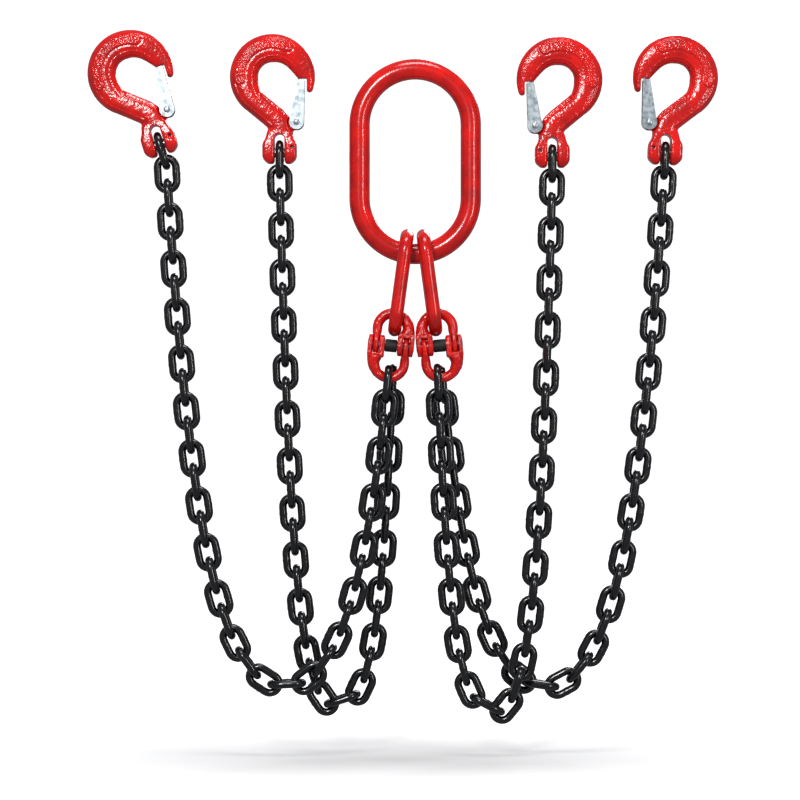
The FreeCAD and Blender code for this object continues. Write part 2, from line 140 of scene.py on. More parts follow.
def linear(colour):
    """An sRGB hex colour as linear red, green, blue, alpha."""
    values = [int(colour[k:k + 2], 16) / 255 for k in (1, 3, 5)]
    return [v / 12.92 if v <= 0.04045 else ((v + 0.055) / 1.055) ** 2.4 for v in values] + [1.0]


def add(tree, kind, inputs=None, **settings):
    """Adds a node: inputs are values, or sockets to link, by the input's name or number."""
    made = tree.nodes.new(kind)
    for key, value in settings.items():
        setattr(made, key, value)
    for key, value in (inputs or {}).items():
        if isinstance(value, bpy.types.NodeSocket):
            tree.links.new(value, made.inputs[key])
        else:
            made.inputs[key].default_value = value
    return made


def start_finish(name):
    """A new material with an empty tree, and the object coordinates that its patterns read."""
    finish = bpy.data.materials.new(name)
    finish.use_nodes = True
    finish.node_tree.nodes.clear()
    place = add(finish.node_tree, "ShaderNodeTexCoord").outputs["Object"]
    return finish, finish.node_tree, place


def red_enamel(name, grain_mm, grain_height_mm, roughness):
    """Glossy red stoving enamel on forged steel: orange peel about 1.2 mm wide over the forging's
    own grain, painted shade in the grain's hollows, a darker tone where the paint runs thin, and a
    clear wet shine."""
    finish, tree, place = start_finish(name)
    peel = add(tree, "ShaderNodeTexNoise", {"Vector": place, "Scale": 1 / (1.2 * MM),
                                            "Detail": 2.0})
    grain = add(tree, "ShaderNodeTexNoise", {"Vector": place, "Scale": 1 / (grain_mm * MM),
                                             "Detail": 4.0, "Roughness": 0.6})
    patches = add(tree, "ShaderNodeTexNoise", {"Vector": place, "Scale": 1 / (17 * MM),
                                               "Detail": 5.0})
    tone = add(tree, "ShaderNodeValToRGB", {"Fac": patches.outputs["Fac"]})
    tone.color_ramp.elements[0].position = 0.3
    tone.color_ramp.elements[0].color = linear("#b80a05")
    tone.color_ramp.elements[1].position = 0.68
    tone.color_ramp.elements[1].color = linear("#ea140c")
    # painted shade: the red darkens to 0.72 in the grain's hollows, the lows of the same noise
    # that the bump raises
    painted_shade_in_hollows = add(tree, "ShaderNodeMapRange", {"Value": grain.outputs["Fac"], "From Min": 0.25,
                                            "From Max": 0.42, "To Min": 0.72, "To Max": 1.0})
    # a colour mix has its two colours at inputs 6 and 7, and the mixed colour at output 2
    shade = add(tree, "ShaderNodeMix", {"Factor": 1.0, 6: tone.outputs["Color"],
                                        7: painted_shade_in_hollows.outputs["Result"]},
                data_type="RGBA", blend_type="MULTIPLY")
    dull = add(tree, "ShaderNodeMapRange", {"Value": patches.outputs["Fac"], "From Min": 0.3,
                                            "From Max": 0.7, "To Min": roughness + 0.08,
                                            "To Max": roughness})
    coarse = add(tree, "ShaderNodeBump", {"Height": grain.outputs["Fac"], "Strength": 0.7,
                                          "Distance": grain_height_mm * MM})
    fine = add(tree, "ShaderNodeBump", {"Height": peel.outputs["Fac"], "Strength": 0.4,
                                        "Distance": 0.06 * MM, "Normal": coarse.outputs["Normal"]})
    shader = add(tree, "ShaderNodeBsdfPrincipled", {
        "Base Color": shade.outputs[2], "Roughness": dull.outputs["Result"],
        "Normal": fine.outputs["Normal"], "Coat Weight": 0.2, "Coat Roughness": 0.05,
        "Coat Normal": fine.outputs["Normal"], "IOR": 1.5})
    add(tree, "ShaderNodeOutputMaterial", {"Surface": shader.outputs["BSDF"]})
    return finish


def dress(piece, body, slot, finish, *nodes):
    """Gives a piece its finish and body, and hides the CAD nodes that it stands for. slot is not
    used.
    """
    piece.data.materials.clear()
    piece.data.materials.append(finish)
    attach(piece, body)
    if nodes:
        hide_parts(*nodes)


WELD_HEIGHT, WELD_LENGTH, WELD_RISE = 4 * MM, 5 * MM, 0.012
DRAWN_BAR = 0.988  # the bar without its paint runs, as a share of the node's width
master_enamel = red_enamel("red_enamel_on_smooth_bar", 3.4, 0.12, 0.15)
low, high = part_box("master_link")
bar = high.y - low.y
bend = (high.x - low.x - bar) / 2
straight = (high.z - low.z - bar) / 2 - bend
middle = np.array((high + low) / 2)
line = outline((0, straight, bend, 0, 180), (0, -straight, bend, 180, 360))
# the forge weld stands a little proud half way up the left straight side
weld = 1 + WELD_RISE * np.exp(-((line[:, 1] - WELD_HEIGHT) / WELD_LENGTH) ** 2) * (line[:, 0] < 0)
tube = ring_surface(line, bar / 2 * DRAWN_BAR * weld, 40)
master = add_piece("master_ring", [tube[..., [0, 2, 1]] * [1, -1, 1] + middle])
dress(master, "master_link", "red_paint", master_enamel, "master_link")

# ---------------------------------------------------------------------------
# Sub links: two rings of 13.5 mm bar with flattened ends, seen from the edge,
# so that two coupling links sit side by side in the bottom end of each.

SUB_BAR, SUB_REACH, SUB_LENGTH = 13.5 * MM, 28.75 * MM, 95.5 * MM
SUB_CROWN, SUB_SHOULDER, SUB_SPLAY = 50 * MM, 14 * MM, 7.6
sub_enamel = red_enamel("red_enamel_on_forged_bar", 2.6, 0.15, 0.16)


def place_in_hang(points, x, y, z, turn, mirrored=False):
    """Points of a piece's own frame: mirrored in x if asked, turned clockwise about y, moved."""
    a = math.radians(turn)
    own = points * [-1 if mirrored else 1, 1, 1]
    return np.stack([own[..., 0] * math.cos(a) + own[..., 2] * math.sin(a) + x, own[..., 1] + y,
                     own[..., 2] * math.cos(a) - own[..., 0] * math.sin(a) + z], -1)


span = SUB_CROWN - SUB_SHOULDER
flare = math.degrees(math.asin((SUB_REACH - SUB_SHOULDER) / span))
rise = SUB_CROWN - span * math.cos(math.radians(flare))
corner = SUB_REACH - SUB_SHOULDER
line = outline((0, -SUB_CROWN, SUB_CROWN, 90 - flare, 90 + flare),
               (-corner, -rise, SUB_SHOULDER, 90 + flare, 180),
               (-corner, rise - SUB_LENGTH, SUB_SHOULDER, 180, 270 - flare),
               (0, SUB_CROWN - SUB_LENGTH, SUB_CROWN, 270 - flare, 270 + flare),
               (corner, rise - SUB_LENGTH, SUB_SHOULDER, 270 + flare, 360),
               (corner, -rise, SUB_SHOULDER, 0, 90 - flare))
tube = ring_surface(line, SUB_BAR / 2, 32)[..., [2, 0, 1]]
for side, sign in (("left", -1), ("right", 1)):
    x, y, z = joints[f"sub_link_{side}_swing"]["pos_m"]
    ring = add_piece(f"sub_ring_{side}", [place_in_hang(tube, x, y, z, -sign * SUB_SPLAY)])
    dress(ring, f"sub_link_{side}", "red_paint", sub_enamel, f"sub_link_{side}")

# ---------------------------------------------------------------------------
# Coupling links: two drop forged halves with a coarse skin under thick red
# paint. A half is a tongue, a bow, and a fork with two lugs round the pin.

BOW_RADIUS, BOW_RISE = 15.25, 17.35
LUG_RADIUS, LUG_TOP = 9.8, 12.5
# a lug's size at the start of its rounded edge and at its flat face, as a share of the middle's
LUG_EDGE, LUG_FACE = 0.78, 0.74
INNER_LUG, OUTER_LUG = (6.2, 11.8, 0.05), (18.6, 23.2, -0.06)
DENT_WIDTH, DENT_DEPTH, SKIN_TAKEN_OFF = 4.4 * MM, 0.17 * MM, 0.12 * MM
forged_enamel = red_enamel("red_enamel_on_drop_forging", 2.2, 0.5, 0.14)


def signed_power(values, power):
    """Each value's size to a power, with the value's own sign."""
    return np.sign(values) * np.abs(values) ** power


def rounded_sections(x, z, turn, wide, thick, power, around):
    """Rows of a swept bar: at each x and z a section with its half width, turned by turn from x
    towards z, and its half thickness in y. A power of 2 makes an ellipse, more squares it off."""
    b = np.arange(around) * 2 * np.pi / around
    u = signed_power(np.cos(b), 2 / power[:, None]) * wide[:, None]
    v = signed_power(np.sin(b), 2 / power[:, None]) * thick[:, None]
    return np.stack([x[:, None] + u * np.cos(turn)[:, None], v,
                     z[:, None] + u * np.sin(turn)[:, None]], -1)


def half_bar():
    """The bar of a half, in mm, pin along x at the origin. Each row is a section: centre + half
    width c^(2/e) across + half thickness s^(2/e) in y, with c and s the cosine and sine round the
    bar. Rows go up the flat tongue, round the bow, and widen into the fork."""
    rows = np.array([
        # centre x, centre z, across in degrees, half width, half thickness, exponent
        (-15.2, -8.3, 180, 2.5, 3.6, 2.6), (-15.2, -7.2, 180, 3.0, 5.8, 3.0),
        (-15.2, -3.0, 180, 3.1, 7.6, 3.4), (-15.2, 4.0, 180, 3.1, 7.9, 3.6),
        (-15.2, 8.0, 180, 3.3, 7.4, 3.2), (-15.2, 11.5, 180, 4.5, 5.8, 2.4),
        (-15.25, 14.5, 180, 4.9, 4.9, 2.0), (-15.25, 17.35, 180, 4.9, 4.9, 2.0),
        (-10.78, 28.13, 135, 4.9, 4.9, 2.0), (0.0, 32.6, 90, 4.9, 4.9, 2.0),
        (7.6, 30.6, 60, 4.9, 5.0, 2.1), (11.5, 27.8, 44, 5.1, 5.6, 2.2),
        (15.0, 22.4, 21, 5.6, 7.2, 2.3), (16.3, 17.3, 0, 6.1, 8.4, 2.5),
        (15.6, 12.8, 0, 7.3, 9.0, 2.8), (14.8, 9.4, 0, 8.4, 9.1, 3.0),
        (14.8, 8.2, 0, 8.3, 8.8, 3.0)], float)
    known = np.concatenate([[0], np.cumsum(np.hypot(*np.diff(rows[:, :2], axis=0).T))])
    along = np.linspace(0, known[-1], 110)
    x, z, turn, wide, thick, power = (np.interp(along, known, rows[:, k]) for k in range(6))
    bow = (turn < 179.9) & (turn > 60)
    a = np.radians(turn)
    x = np.where(bow, BOW_RADIUS * np.cos(a), x)
    z = np.where(bow, BOW_RISE + BOW_RADIUS * np.sin(a), z)
    return rounded_sections(x, z, a, wide, thick, power, 40)


def lug(x0, x1, lean):
    """One lug, in mm: its outline is a half circle about the pin and a straight neck above,
    carried from x0 to x1 and drawn in at both faces, which rounds the edges. lean tips the lower
    end along x, as a share of the depth under the pin."""
    t = np.linspace(-1, 1, 17)
    size = (1 - np.abs(t) ** 5) ** (1 / 3.0) * (1 - LUG_EDGE) + LUG_EDGE
    size[[0, -1]] = LUG_FACE
    b = np.radians(np.linspace(180, 360, 30))
    ring = np.vstack([LUG_RADIUS * np.stack([np.cos(b), np.sin(b)], 1),
                      np.stack([np.linspace(9.4, -9.4, 12), np.full(12, LUG_TOP)], 1)])
    x = (x0 + x1) / 2 + t * (x1 - x0) / 2
    depth = ring[:, 1][None, :] * size[:, None]
    return np.stack([x[:, None] + lean * np.clip(-depth, 0, None),
                     ring[:, 0][None, :] * size[:, None], depth], -1)


VOXEL = 0.55 * MM


def forged_skin(grids, voxel, rounds, cuts=()):
    """Joins closed grids in one skin: a voxel remesh, then a smoothing that rounds inner corners.
    Closed grids in cuts are taken off first. Gives its points and quads."""
    rough = add_piece("rough_forging", grids, close=(False, True), ends=True)
    tools = [add_piece("cutter", [grid], close=(False, True), ends=True) for grid in cuts]
    if tools:
        whole = rough.modifiers.new("whole", "REMESH")
        whole.mode, whole.voxel_size = "VOXEL", voxel * 1.3
    for tool in tools:
        cut = rough.modifiers.new("cut", "BOOLEAN")
        cut.operation, cut.solver, cut.object = "DIFFERENCE", "MANIFOLD", tool
    remesh = rough.modifiers.new("join", "REMESH")
    remesh.mode, remesh.voxel_size = "VOXEL", voxel
    smooth = rough.modifiers.new("fillet", "SMOOTH")
    smooth.factor, smooth.iterations = 0.5, rounds
    graph = bpy.context.evaluated_depsgraph_get()
    made = rough.evaluated_get(graph).to_mesh()
    points = np.empty(len(made.vertices) * 3)
    made.vertices.foreach_get("co", points)
    quads = np.empty(len(made.loops), int)
    made.loops.foreach_get("vertex_index", quads)
    for spent in [rough] + tools:
        mesh = spent.data
        bpy.data.objects.remove(spent)
        bpy.data.meshes.remove(mesh)
    return points.reshape(-1, 3), quads.reshape(-1, 4)


def skin_normals(points, quads):
    """The skin's normal at each point: the mean of the quads round it, by their area."""
    normals = np.zeros_like(points)
    facing = np.cross(points[quads[:, 2]] - points[quads[:, 0]],
                      points[quads[:, 3]] - points[quads[:, 1]])
    for k in range(4):
        np.add.at(normals, quads[:, k], facing)
    return normals / np.linalg.norm(normals, axis=1)[:, None]


def add_skin(name, points, quads, inside_out):
    """One smooth mesh of points and quads, its faces turned over where a mirror turned them in."""
    mesh = bpy.data.meshes.new(name)
    mesh.from_pydata(points.tolist(), [], (quads[:, ::-1] if inside_out else quads).tolist())
    mesh.polygons.foreach_set("use_smooth", np.ones(len(mesh.polygons), bool))
    mesh.update()
    piece = bpy.data.objects.new(name, mesh)
    bpy.context.scene.collection.objects.link(piece)
    return piece


def hammered(points, seed, width):
    """A rough skin's height at each point, mostly within 1 of 0: forty plane waves that run every
    way, most of them near one width, added up."""
    waves = np.random.default_rng(seed)
    height = np.zeros(len(points))
    for _ in range(40):
        way = waves.normal(0, 1, 3) * 2 * np.pi / width
        height += np.cos(points @ way + waves.uniform(0, 2 * np.pi))
    return height / 6


solids = [half_bar(), lug(*INNER_LUG), lug(*OUTER_LUG)]
points, quads = forged_skin([grid * MM for grid in solids], VOXEL, 4)
# the dents are deep on the fork, from 8 mm past the middle, and a quarter of that on the tongue
on_fork = np.clip((points[:, 0] / MM + 2) / 10, 0.25, 1)
lift = hammered(points, 21, DENT_WIDTH) * DENT_DEPTH * on_fork - SKIN_TAKEN_OFF
points = points + skin_normals(points, quads) * lift[:, None]
for leg in (1, 2, 3, 4):
    joint = joints[f"connector_{leg}_fold"]
    x, y, z = joint["pos_m"]
    right = leg > 2
    # the load pin's lean, the same whichever way its axis is stated
    tilt = math.degrees(math.atan2(-joint["axis"][2] * (1 if joint["axis"][0] > 0 else -1),
                                   abs(joint["axis"][0])))
    for half, over in (("upper", 0), ("lower", 180)):
        placed = place_in_hang(place_in_hang(points, 0, 0, 0, over), x, y, z, tilt, right)
        made = add_skin(f"coupling_{leg}_{half}_half", placed, quads, right)
        dress(made, f"connector_{leg}_{half}", "red_paint", forged_enamel,
              f"connector_{leg}_{half}_half")

# ---------------------------------------------------------------------------
# Each coupling link turns on one ground pin, held by a phosphated sleeve that
# is driven on between the halves: the pin's ends show in the outer lugs.


def turned_surface(profile, around=32):
    """A profile of (along, radius) pairs carried round the first axis: (rows, around, 3)."""
    b = np.arange(around) * 2 * np.pi / around
    along, radius = np.asarray(profile, float).T
    ring = np.stack([np.zeros(around), np.cos(b), np.sin(b)], 1)
    return ring * radius[:, None, None] + along[:, None, None] * np.array([1.0, 0, 0])


def rounded_ends(half, radius, edge):
    """Profile of a pin from one end to the other, its edges rounded to a quarter circle."""
    a = np.linspace(0, np.pi / 2, 6)
    corner = np.stack([edge * (1 - np.cos(a)) - half, radius - edge + edge * np.sin(a)], 1)
    eye = radius * 0.05
    return np.vstack([[[-half, eye]], corner, corner[::-1] * [-1, 1], [[half, eye]]])


finish, tree, place = start_finish("ground_steel_pin")
scratches = add(tree, "ShaderNodeMapping", {"Vector": place, "Scale": (60.0, 1400.0, 1400.0)})
scuff = add(tree, "ShaderNodeTexNoise", {"Vector": scratches.outputs["Vector"], "Scale": 1.0,
                                         "Detail": 3.0})
# turning marks about 0.7 mm apart, and a little oil that darkens the steel in patches
oil = add(tree, "ShaderNodeTexNoise", {"Vector": place, "Scale": 1 / (4 * MM), "Detail": 3.0})
tone = add(tree, "ShaderNodeValToRGB", {"Fac": oil.outputs["Fac"]})
tone.color_ramp.elements[0].color = linear("#4a4c50")
tone.color_ramp.elements[1].color = linear("#a9adb2")
spread = add(tree, "ShaderNodeMapRange", {"Value": scuff.outputs["Fac"], "To Min": 0.22,
                                          "To Max": 0.42})
relief = add(tree, "ShaderNodeBump", {"Height": scuff.outputs["Fac"], "Strength": 0.3,
                                      "Distance": 0.05 * MM})
shader = add(tree, "ShaderNodeBsdfPrincipled", {
    "Base Color": tone.outputs["Color"], "Metallic": 1.0, "Roughness": spread.outputs["Result"],
    "Normal": relief.outputs["Normal"]})
add(tree, "ShaderNodeOutputMaterial", {"Surface": shader.outputs["BSDF"]})
pin_steel = finish

finish, tree, place = start_finish("phosphated_sleeve_steel")
crystals = add(tree, "ShaderNodeTexVoronoi", {"Vector": place, "Scale": 1 / (0.5 * MM)})
# manganese phosphate: a dark matt skin of fine crystals, drawn 0.5 mm wide so that they show
tone = add(tree, "ShaderNodeValToRGB", {"Fac": crystals.outputs["Distance"]})
tone.color_ramp.elements[0].color = linear("#0b0b0c")
tone.color_ramp.elements[1].color = linear("#19191c")
relief = add(tree, "ShaderNodeBump", {"Height": crystals.outputs["Distance"], "Strength": 0.4,
                                      "Distance": 0.06 * MM})
shader = add(tree, "ShaderNodeBsdfPrincipled", {
    "Base Color": tone.outputs["Color"], "Roughness": 0.62, "Normal": relief.outputs["Normal"]})
add(tree, "ShaderNodeOutputMaterial", {"Surface": shader.outputs["BSDF"]})
sleeve_skin = finish

# half length, radius and edge
load_pin = turned_surface(rounded_ends(23.3 * MM, 4.5 * MM, 0.6 * MM))
sleeve = turned_surface(rounded_ends(5.9 * MM, 6.2 * MM, 0.7 * MM))
for leg in (1, 2, 3, 4):
    joint = joints[f"connector_{leg}_fold"]
    x, y, z = joint["pos_m"]
    turn = math.degrees(math.atan2(-joint["axis"][2], joint["axis"][0]))
    for part, shape, slot, skin in (("load_pin", load_pin, "dark_steel", pin_steel),
                                    ("sleeve", sleeve, "black_sleeve", sleeve_skin)):
        made = add_piece(f"coupling_{leg}_{part}", [place_in_hang(shape, x, y, z, turn)],
                         close=(False, True), ends=True)
        dress(made, f"connector_{leg}_upper", slot, skin, f"connector_{leg}_{part}")

# ---------------------------------------------------------------------------
# Chain: 39 links a leg of 8 mm grade 80 bar, bent, butt welded on one side,
# and lacquered black. A link seen from its edge hangs in two seen from the face.

CHAIN_BAR, LINKS = 8 * MM, 39
LINK_BEND, LINK_STRAIGHT = 9.25 * MM, 6.75 * MM
# a link seen from its edge is hung outside to outside, one seen from the face inside to inside
EDGE_STEP, FACE_STEP = 32 * MM, 15.7 * MM
HOOK_PIN_TO_CROWN = 9.2 * MM
# the butt weld's bead and the wear in the crowns, as shares of the bar
BEAD_RISE, BEAD_LENGTH, CROWN_WEAR = 0.07, 1.3 * MM, 0.015
STRETCHES = {"a": (1, 12), "b": (13, 15), "c": (16, 18), "d": (19, 39)}

finish, tree, place = start_finish("black_lacquer_on_chain_steel")
flow = add(tree, "ShaderNodeTexNoise", {"Vector": place, "Scale": 1 / (2.5 * MM), "Detail": 3.0})
wear = add(tree, "ShaderNodeTexNoise", {"Vector": place, "Scale": 1 / (6 * MM), "Detail": 5.0,
                                        "Roughness": 0.65})
tone = add(tree, "ShaderNodeValToRGB", {"Fac": wear.outputs["Fac"]})
tone.color_ramp.elements[0].position = 0.35
tone.color_ramp.elements[0].color = linear("#050506")
tone.color_ramp.elements[1].position = 0.75
tone.color_ramp.elements[1].color = linear("#101113")
spread = add(tree, "ShaderNodeMapRange", {"Value": wear.outputs["Fac"], "From Min": 0.3,
                                          "From Max": 0.7, "To Min": 0.16, "To Max": 0.3})
relief = add(tree, "ShaderNodeBump", {"Height": flow.outputs["Fac"], "Strength": 0.5,
                                      "Distance": 0.12 * MM})
shader = add(tree, "ShaderNodeBsdfPrincipled", {
    "Base Color": tone.outputs["Color"], "Roughness": spread.outputs["Result"], "Metallic": 0.1,
    "Normal": relief.outputs["Normal"], "Coat Weight": 0.5, "Coat Roughness": 0.06})
add(tree, "ShaderNodeOutputMaterial", {"Surface": shader.outputs["BSDF"]})
chain_lacquer = finish


def hanging_points(start, end, count):
    """Pivots of a chain of rigid links that hangs from start to end, both (x, z): each link points
    along the pull in it, whose upward part falls by one link's weight a link, and Newton's method
    finds the pull in the first link that ends the chain at end."""
    lengths = np.where(np.arange(count) % 2 == 0, EDGE_STEP, FACE_STEP)
    sense = 1 if end[0] > start[0] else -1
    goal = np.array([abs(end[0] - start[0]), end[1] - start[1]])

    def walk(pull):
        rest = pull[1] - (np.arange(count) + 0.5)
        size = np.hypot(pull[0], rest)
        steps = np.stack([lengths * pull[0] / size, -lengths * rest / size], 1)
        return np.vstack([[0, 0], np.cumsum(steps, 0)])

    pull, nudge = np.array([1.0, count * 0.38]), 1e-6
    for _ in range(200):
        here = walk(pull)[-1]
        if np.abs(here - goal).sum() < 1e-11:
            break
        slope = np.stack([(walk(pull + nudge * e)[-1] - here) / nudge for e in np.eye(2)], 1)
        change = np.linalg.solve(slope, goal - here)
        pull = pull + change * min(1.0, 1.0 / max(np.abs(change).max(), 1e-9))
        pull[0] = max(pull[0], 0.05)
    return walk(pull) * [sense, 1] + start


line = outline((0, LINK_STRAIGHT, LINK_BEND, 0, 180), (0, -LINK_STRAIGHT, LINK_BEND, 180, 360),
               spacing=2.3 * MM)
bead = 1 + BEAD_RISE * np.exp(-(line[:, 1] / BEAD_LENGTH) ** 2) * (line[:, 0] > 0)
crown_wear = 1 - CROWN_WEAR * (np.abs(line[:, 1]) > LINK_STRAIGHT + LINK_BEND * 0.7)
link = ring_surface(line, CHAIN_BAR / 2 * bead * crown_wear, 14)
chance = np.random.default_rng(39)
for leg in (1, 2, 3, 4):
    x0, y, z0 = joints[f"chain_{leg}_a_bend"]["pos_m"]
    pin = np.array(joints[f"hook_{leg}_tilt"]["pos_m"])[[0, 2]]
    axis = joints[f"hook_{leg}_tilt"]["axis"]
    up = np.array([-axis[2], axis[0]])
    crown = pin + up * HOOK_PIN_TO_CROWN
    pivots = np.vstack([hanging_points((x0, z0), crown - up * EDGE_STEP, LINKS - 1), crown])
    centre = (pivots[1:] + pivots[:-1]) / 2
    ahead = pivots[1:] - pivots[:-1]
    ahead /= np.linalg.norm(ahead, axis=1)[:, None]
    zeros = np.zeros(LINKS)
    along = np.stack([ahead[:, 0], zeros, ahead[:, 1]], 1)
    beside = np.stack([ahead[:, 1], zeros, -ahead[:, 0]], 1)
    depth = np.tile([0.0, 1.0, 0.0], (LINKS, 1))
    edge_on = (np.arange(LINKS) % 2 == 0)[:, None]
    # the weld's side, by chance
    flip = chance.choice([-1.0, 1.0], LINKS)[:, None]
    wide = np.where(edge_on, depth, beside) * flip
    thick = np.where(edge_on, beside, depth) * flip
    middles = np.stack([centre[:, 0], np.full(LINKS, y), centre[:, 1]], 1)
    axes = np.stack([wide, along, thick], 1)
    links = np.einsum("rck,lkd->lrcd", link, axes) + middles[:, None, None, :]
    for stretch, (first, last) in STRETCHES.items():
        run = add_piece(f"chain_{leg}_{stretch}_links", list(links[first - 1:last]))
        dress(run, f"chain_{leg}_{stretch}", "black_chain", chain_lacquer,
              f"chain_{leg}_{stretch}")

# ---------------------------------------------------------------------------
# Hooks: clevis sling hooks drop forged in red painted steel, with a pebbled
# panel raised on both flanks of the bowl and beads that run along its edges.

BOWL_X, BOWL_Z, BOWL_OUTER = -7.3, 77.3, 43.2
# the bowl's inner edge: degrees from +X about the bowl's centre, and radius in mm
BOWL_EDGE = ((-24, 37.9), (-10.9, 28.4), (4, 22.3), (21.5, 18.9), (47, 16.6), (84, 14.4),
             (190, 14.4), (219, 16.6), (230.6, 18.9))
SHANK_NORMAL, SHANK_FOOT, NOSE_START, NOSE_END = 50.6, 30.9, -18, -23.8
NECK_X, NECK_Z, NECK_RADIUS = -17.0, 22.0, 18.0
PIVOT = np.array([17.3, 0, 30.9])
SLOT_HALF, SLOT_CROWN = 5.0, 14.0
CHEEK_ROOM, CATCH_HALF = 9.4, 3.1
KEEPER = np.array([12.6, 0, 5.4])
OUTER_BEAD, INNER_BEAD, BEAD_HEIGHT, BEAD_WIDTH = 4.4, 5.6, 0.5, 0.8
# the raised panel: its ends in degrees round the bowl, the rest in mm from the bowl's centre
PANEL_FROM, PANEL_TO, PEBBLE_WIDTH = 55, 195, 3.4
PANEL_INNER, PANEL_MIDDLE, PANEL_OUTER, PANEL_CORNER = 28.2, 33, 37.6, 4.5
hook_enamel = red_enamel("red_enamel_on_forged_hook", 2.4, 0.2, 0.14)


def hook_place(leg):
    """Pin place x, y, z, clockwise turn in degrees, and whether the mouth faces left."""
    joint = joints[f"hook_{leg}_tilt"]
    turn = -math.degrees(math.atan2(joint["axis"][2], joint["axis"][0]))
    return (*joint["pos_m"], turn, joints[f"latch_{leg}_open"]["axis"][1] > 0)


def bowl_edge(angle):
    """Radius of the bowl's inner edge at an angle: straight runs between the known points, their
    corners rounded by a running mean over 12 degrees."""
    known = np.array(BOWL_EDGE, float)
    shifts = np.linspace(-6, 6, 13)[:, None]
    return np.interp(np.asarray(angle)[None, :] + shifts, known[:, 0], known[:, 1]).mean(0)


def hook_bar():
    """The hook's bar in mm, pin at the origin, mouth towards +x: rounded sections up the neck,
    round the bend, along the shank and round the bowl, whose outer edge is a circle. The last
    6 degrees close as a quarter ellipse."""
    normal = math.radians(SHANK_NORMAL)
    outward = np.array([math.cos(normal), math.sin(normal)])
    bend_at = np.array([NECK_X, NECK_Z]) + NECK_RADIUS * outward
    foot = np.array([BOWL_X, BOWL_Z]) - SHANK_FOOT * outward
    rows = [(NECK_X + NECK_RADIUS, z, 0, 13.2 - 0.02 * z, 9.9, 3.0) for z in (11, 14, 17, 20)]
    for a in np.linspace(0, SHANK_NORMAL, 14):
        t = math.radians(a)
        rows.append((NECK_X + NECK_RADIUS * math.cos(t), NECK_Z + NECK_RADIUS * math.sin(t), a,
                     12.8 - 0.6 * a / SHANK_NORMAL, 9.8, 2.8))
    for share in np.linspace(0, 1, 14)[1:-1]:
        x, z = bend_at + share * (foot - bend_at)
        rows.append((x, z, SHANK_NORMAL, 12.15, 9.8 + 0.6 * share, 2.6))
    angle = np.concatenate([np.linspace(230.6, NOSE_START, 150),
                            NOSE_END + 5.8 * np.linspace(1, 0.004, 14)[1:] ** 2])
    inner = bowl_edge(angle)
    half = (BOWL_OUTER - inner) / 2
    past = np.clip((NOSE_START - angle) / (NOSE_START - NOSE_END), 0, 0.998)
    closing = np.sqrt(1 - past ** 2)
    thick = np.interp(angle, [-22, 70], [5.2, 10.4])
    a = np.radians(angle)
    bowl = np.stack([BOWL_X + (inner + half) * np.cos(a), BOWL_Z + (inner + half) * np.sin(a),
                     angle - 180, half * closing, thick * closing, np.full(len(a), 2.4)], 1)
    x, z, turn, wide, thick, power = np.vstack([rows, bowl]).T
    return rounded_sections(x, z, np.radians(turn), wide, thick, power, 56)


def ear(side):
    """One ear of the clevis in mm, from its rounded foot up into the neck: rows at height z with
    section |(x - middle) / half width|^5 + |y / half thickness|^5 = 1. The corners are cut off."""
    rows = np.array([
        # z, inner x, outer x, half thickness
        (-11.3, 7.8, 10.4, 3.6), (-10.9, 6.6, 11.8, 6.4), (-9.4, 5.4, 13.8, 8.6),
        (-6.6, 4.6, 16.4, 10.0), (-4.4, 4.4, 17.4, 10.7), (0.0, 4.4, 17.5, 11.0),
        (5.0, 4.4, 17.5, 11.0), (9.0, 4.2, 17.3, 10.9), (11.2, 4.0, 16.4, 10.7),
        (14.0, 3.0, 14.7, 10.3), (17.5, 1.5, 13.6, 10.0), (21.0, 0.5, 12.8, 9.6),
        (24.0, 0.5, 11.6, 8.6)])
    z = np.linspace(rows[0, 0], rows[-1, 0], 60)
    near, far, thick = (np.interp(z, rows[:, 0], rows[:, k])[:, None] for k in (1, 2, 3))
    b = np.arange(48) * 2 * np.pi / 48
    x = side * ((near + far) / 2 + (far - near) / 2 * signed_power(np.cos(b), 2 / 5))
    y = thick * signed_power(np.sin(b), 2 / 5)
    return np.stack([x, y, np.broadcast_to(z[:, None], x.shape)], -1)


def block(low, high, turn=0.0, place=(0, 0)):
    """A box in mm as two rows of four corners, turned clockwise about y, then moved in x and z."""
    corners = np.array([(low[0], low[1]), (high[0], low[1]),
                        (high[0], high[1]), (low[0], high[1])], float)
    rows = [np.column_stack([corners, np.full(4, z)]) for z in (low[2], high[2])]
    return place_in_hang(np.stack(rows), place[0], 0, place[1], turn)


def rod(radius, low, high, x, z):
    """A cylinder in mm along y, from low to high, about x and z."""
    tube = turned_surface([(low, radius), (high, radius)], 40)[..., [1, 0, 2]]
    return tube + np.array([x, 0, z])


def hook_cuts():
    """What the hook leaves clear, in mm: the chain's slot, the three pin bores, the notch that
    the latch shuts into, and on both flanks the latch's room and a ledge up the shank."""
    normal = math.radians(SHANK_NORMAL)
    bend_x = NECK_X + NECK_RADIUS * math.cos(normal)
    bend_z = NECK_Z + NECK_RADIUS * math.sin(normal)
    x, _, z = PIVOT
    cuts = [block((-SLOT_HALF, -30, -30), (SLOT_HALF, 30, SLOT_CROWN)),
            rod(SLOT_HALF, -30, 30, 0, SLOT_CROWN),
            turned_surface([(-40, 4.95), (40, 4.95)], 40),
            rod(1.6, -30, 30, KEEPER[0], KEEPER[2]),
            rod(2.1, -30, 30, x, z), block((21.2, -30, 52), (27.4, 30, 75.4))]
    for side in (-1, 1):
        cuts.append(rod(CHEEK_ROOM, *sorted((side * CATCH_HALF, side * 16)), x, z))
        y0, y1 = sorted((side * 5.9, side * 16))
        # a local frame that runs up the shank in x and towards the mouth in -z
        cuts.append(block((-13, y0, -18), (24, y1, -7.6), -90 - SHANK_NORMAL, (bend_x, bend_z)))
    return cuts


def bump(distance, width):
    """A round-topped ridge of height 1: its height at a distance from its crest."""
    return np.exp(-(distance / width) ** 2)


